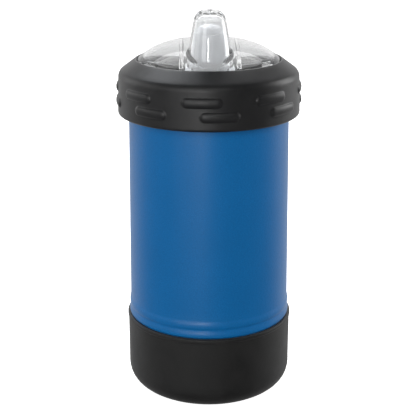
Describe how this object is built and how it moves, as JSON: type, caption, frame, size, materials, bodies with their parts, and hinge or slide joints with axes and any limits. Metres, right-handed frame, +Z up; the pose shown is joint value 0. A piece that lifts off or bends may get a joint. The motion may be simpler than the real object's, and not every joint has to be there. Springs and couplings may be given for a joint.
{
  "type": "insulated sippy cup",
  "caption": "Double-walled steel toddler cup with a silicone boot, a threaded grip collar and a clear domed lid with a hard conical drinking spout.",
  "frame": {"origin": "centre of the boot's underside, on the floor", "axes": "+Z up the cup's axis, -Y towards the spout, +X to the right seen from the spout's side"},
  "size_m": [0.0778, 0.0778, 0.1627],
  "materials": {
    "powder_blue": "fine powder coat, satin",
    "stainless": "brushed along the turning direction",
    "seal_glass": "fused glass bead",
    "getter_grey": "pressed metal powder",
    "silicone_black": "matte",
    "collar_black": "satin, finely textured",
    "clear_plastic": "clear and glossy",
    "silicone_milky": "translucent, satin"
  },
  "bodies": {
    "cup": {"outer_shell": "powder_blue", "inner_liner": "stainless", "shell_base": "stainless", "base_cover": "stainless", "vacuum_seal": "seal_glass", "getter_pellet": "getter_grey", "getter_clip": "stainless"},
    "boot": {"base_boot": "silicone_black"},
    "lid": {"dome_lid": "clear_plastic", "lid_gasket": "silicone_milky"},
    "collar": {"collar_ring": "collar_black"},
    "valve": {"spout_valve": "silicone_milky"}
  },
  "joints": [
    {"name": "lid_lift", "type": "slide", "parent": "cup", "child": "lid", "axis": [0, 0, 1], "range_m": [0, 0.02]},
    {"name": "collar_turn", "type": "hinge", "parent": "lid", "child": "collar", "pos_m": [0, 0, 0.128], "axis": [0, 0, 1], "range_deg": [0, 1440]},
    {"name": "boot_pull", "type": "slide", "parent": "cup", "child": "boot", "axis": [0, 0, -1], "range_m": [0, 0.035]},
    {"name": "valve_pull", "type": "slide", "parent": "lid", "child": "valve", "axis": [0, 0, -1], "range_m": [0, 0.028]}
  ],
  "couplings": [
    {"joint": "lid_lift", "follows": "collar_turn", "m_per_rad": 0.00079577}
  ]
}
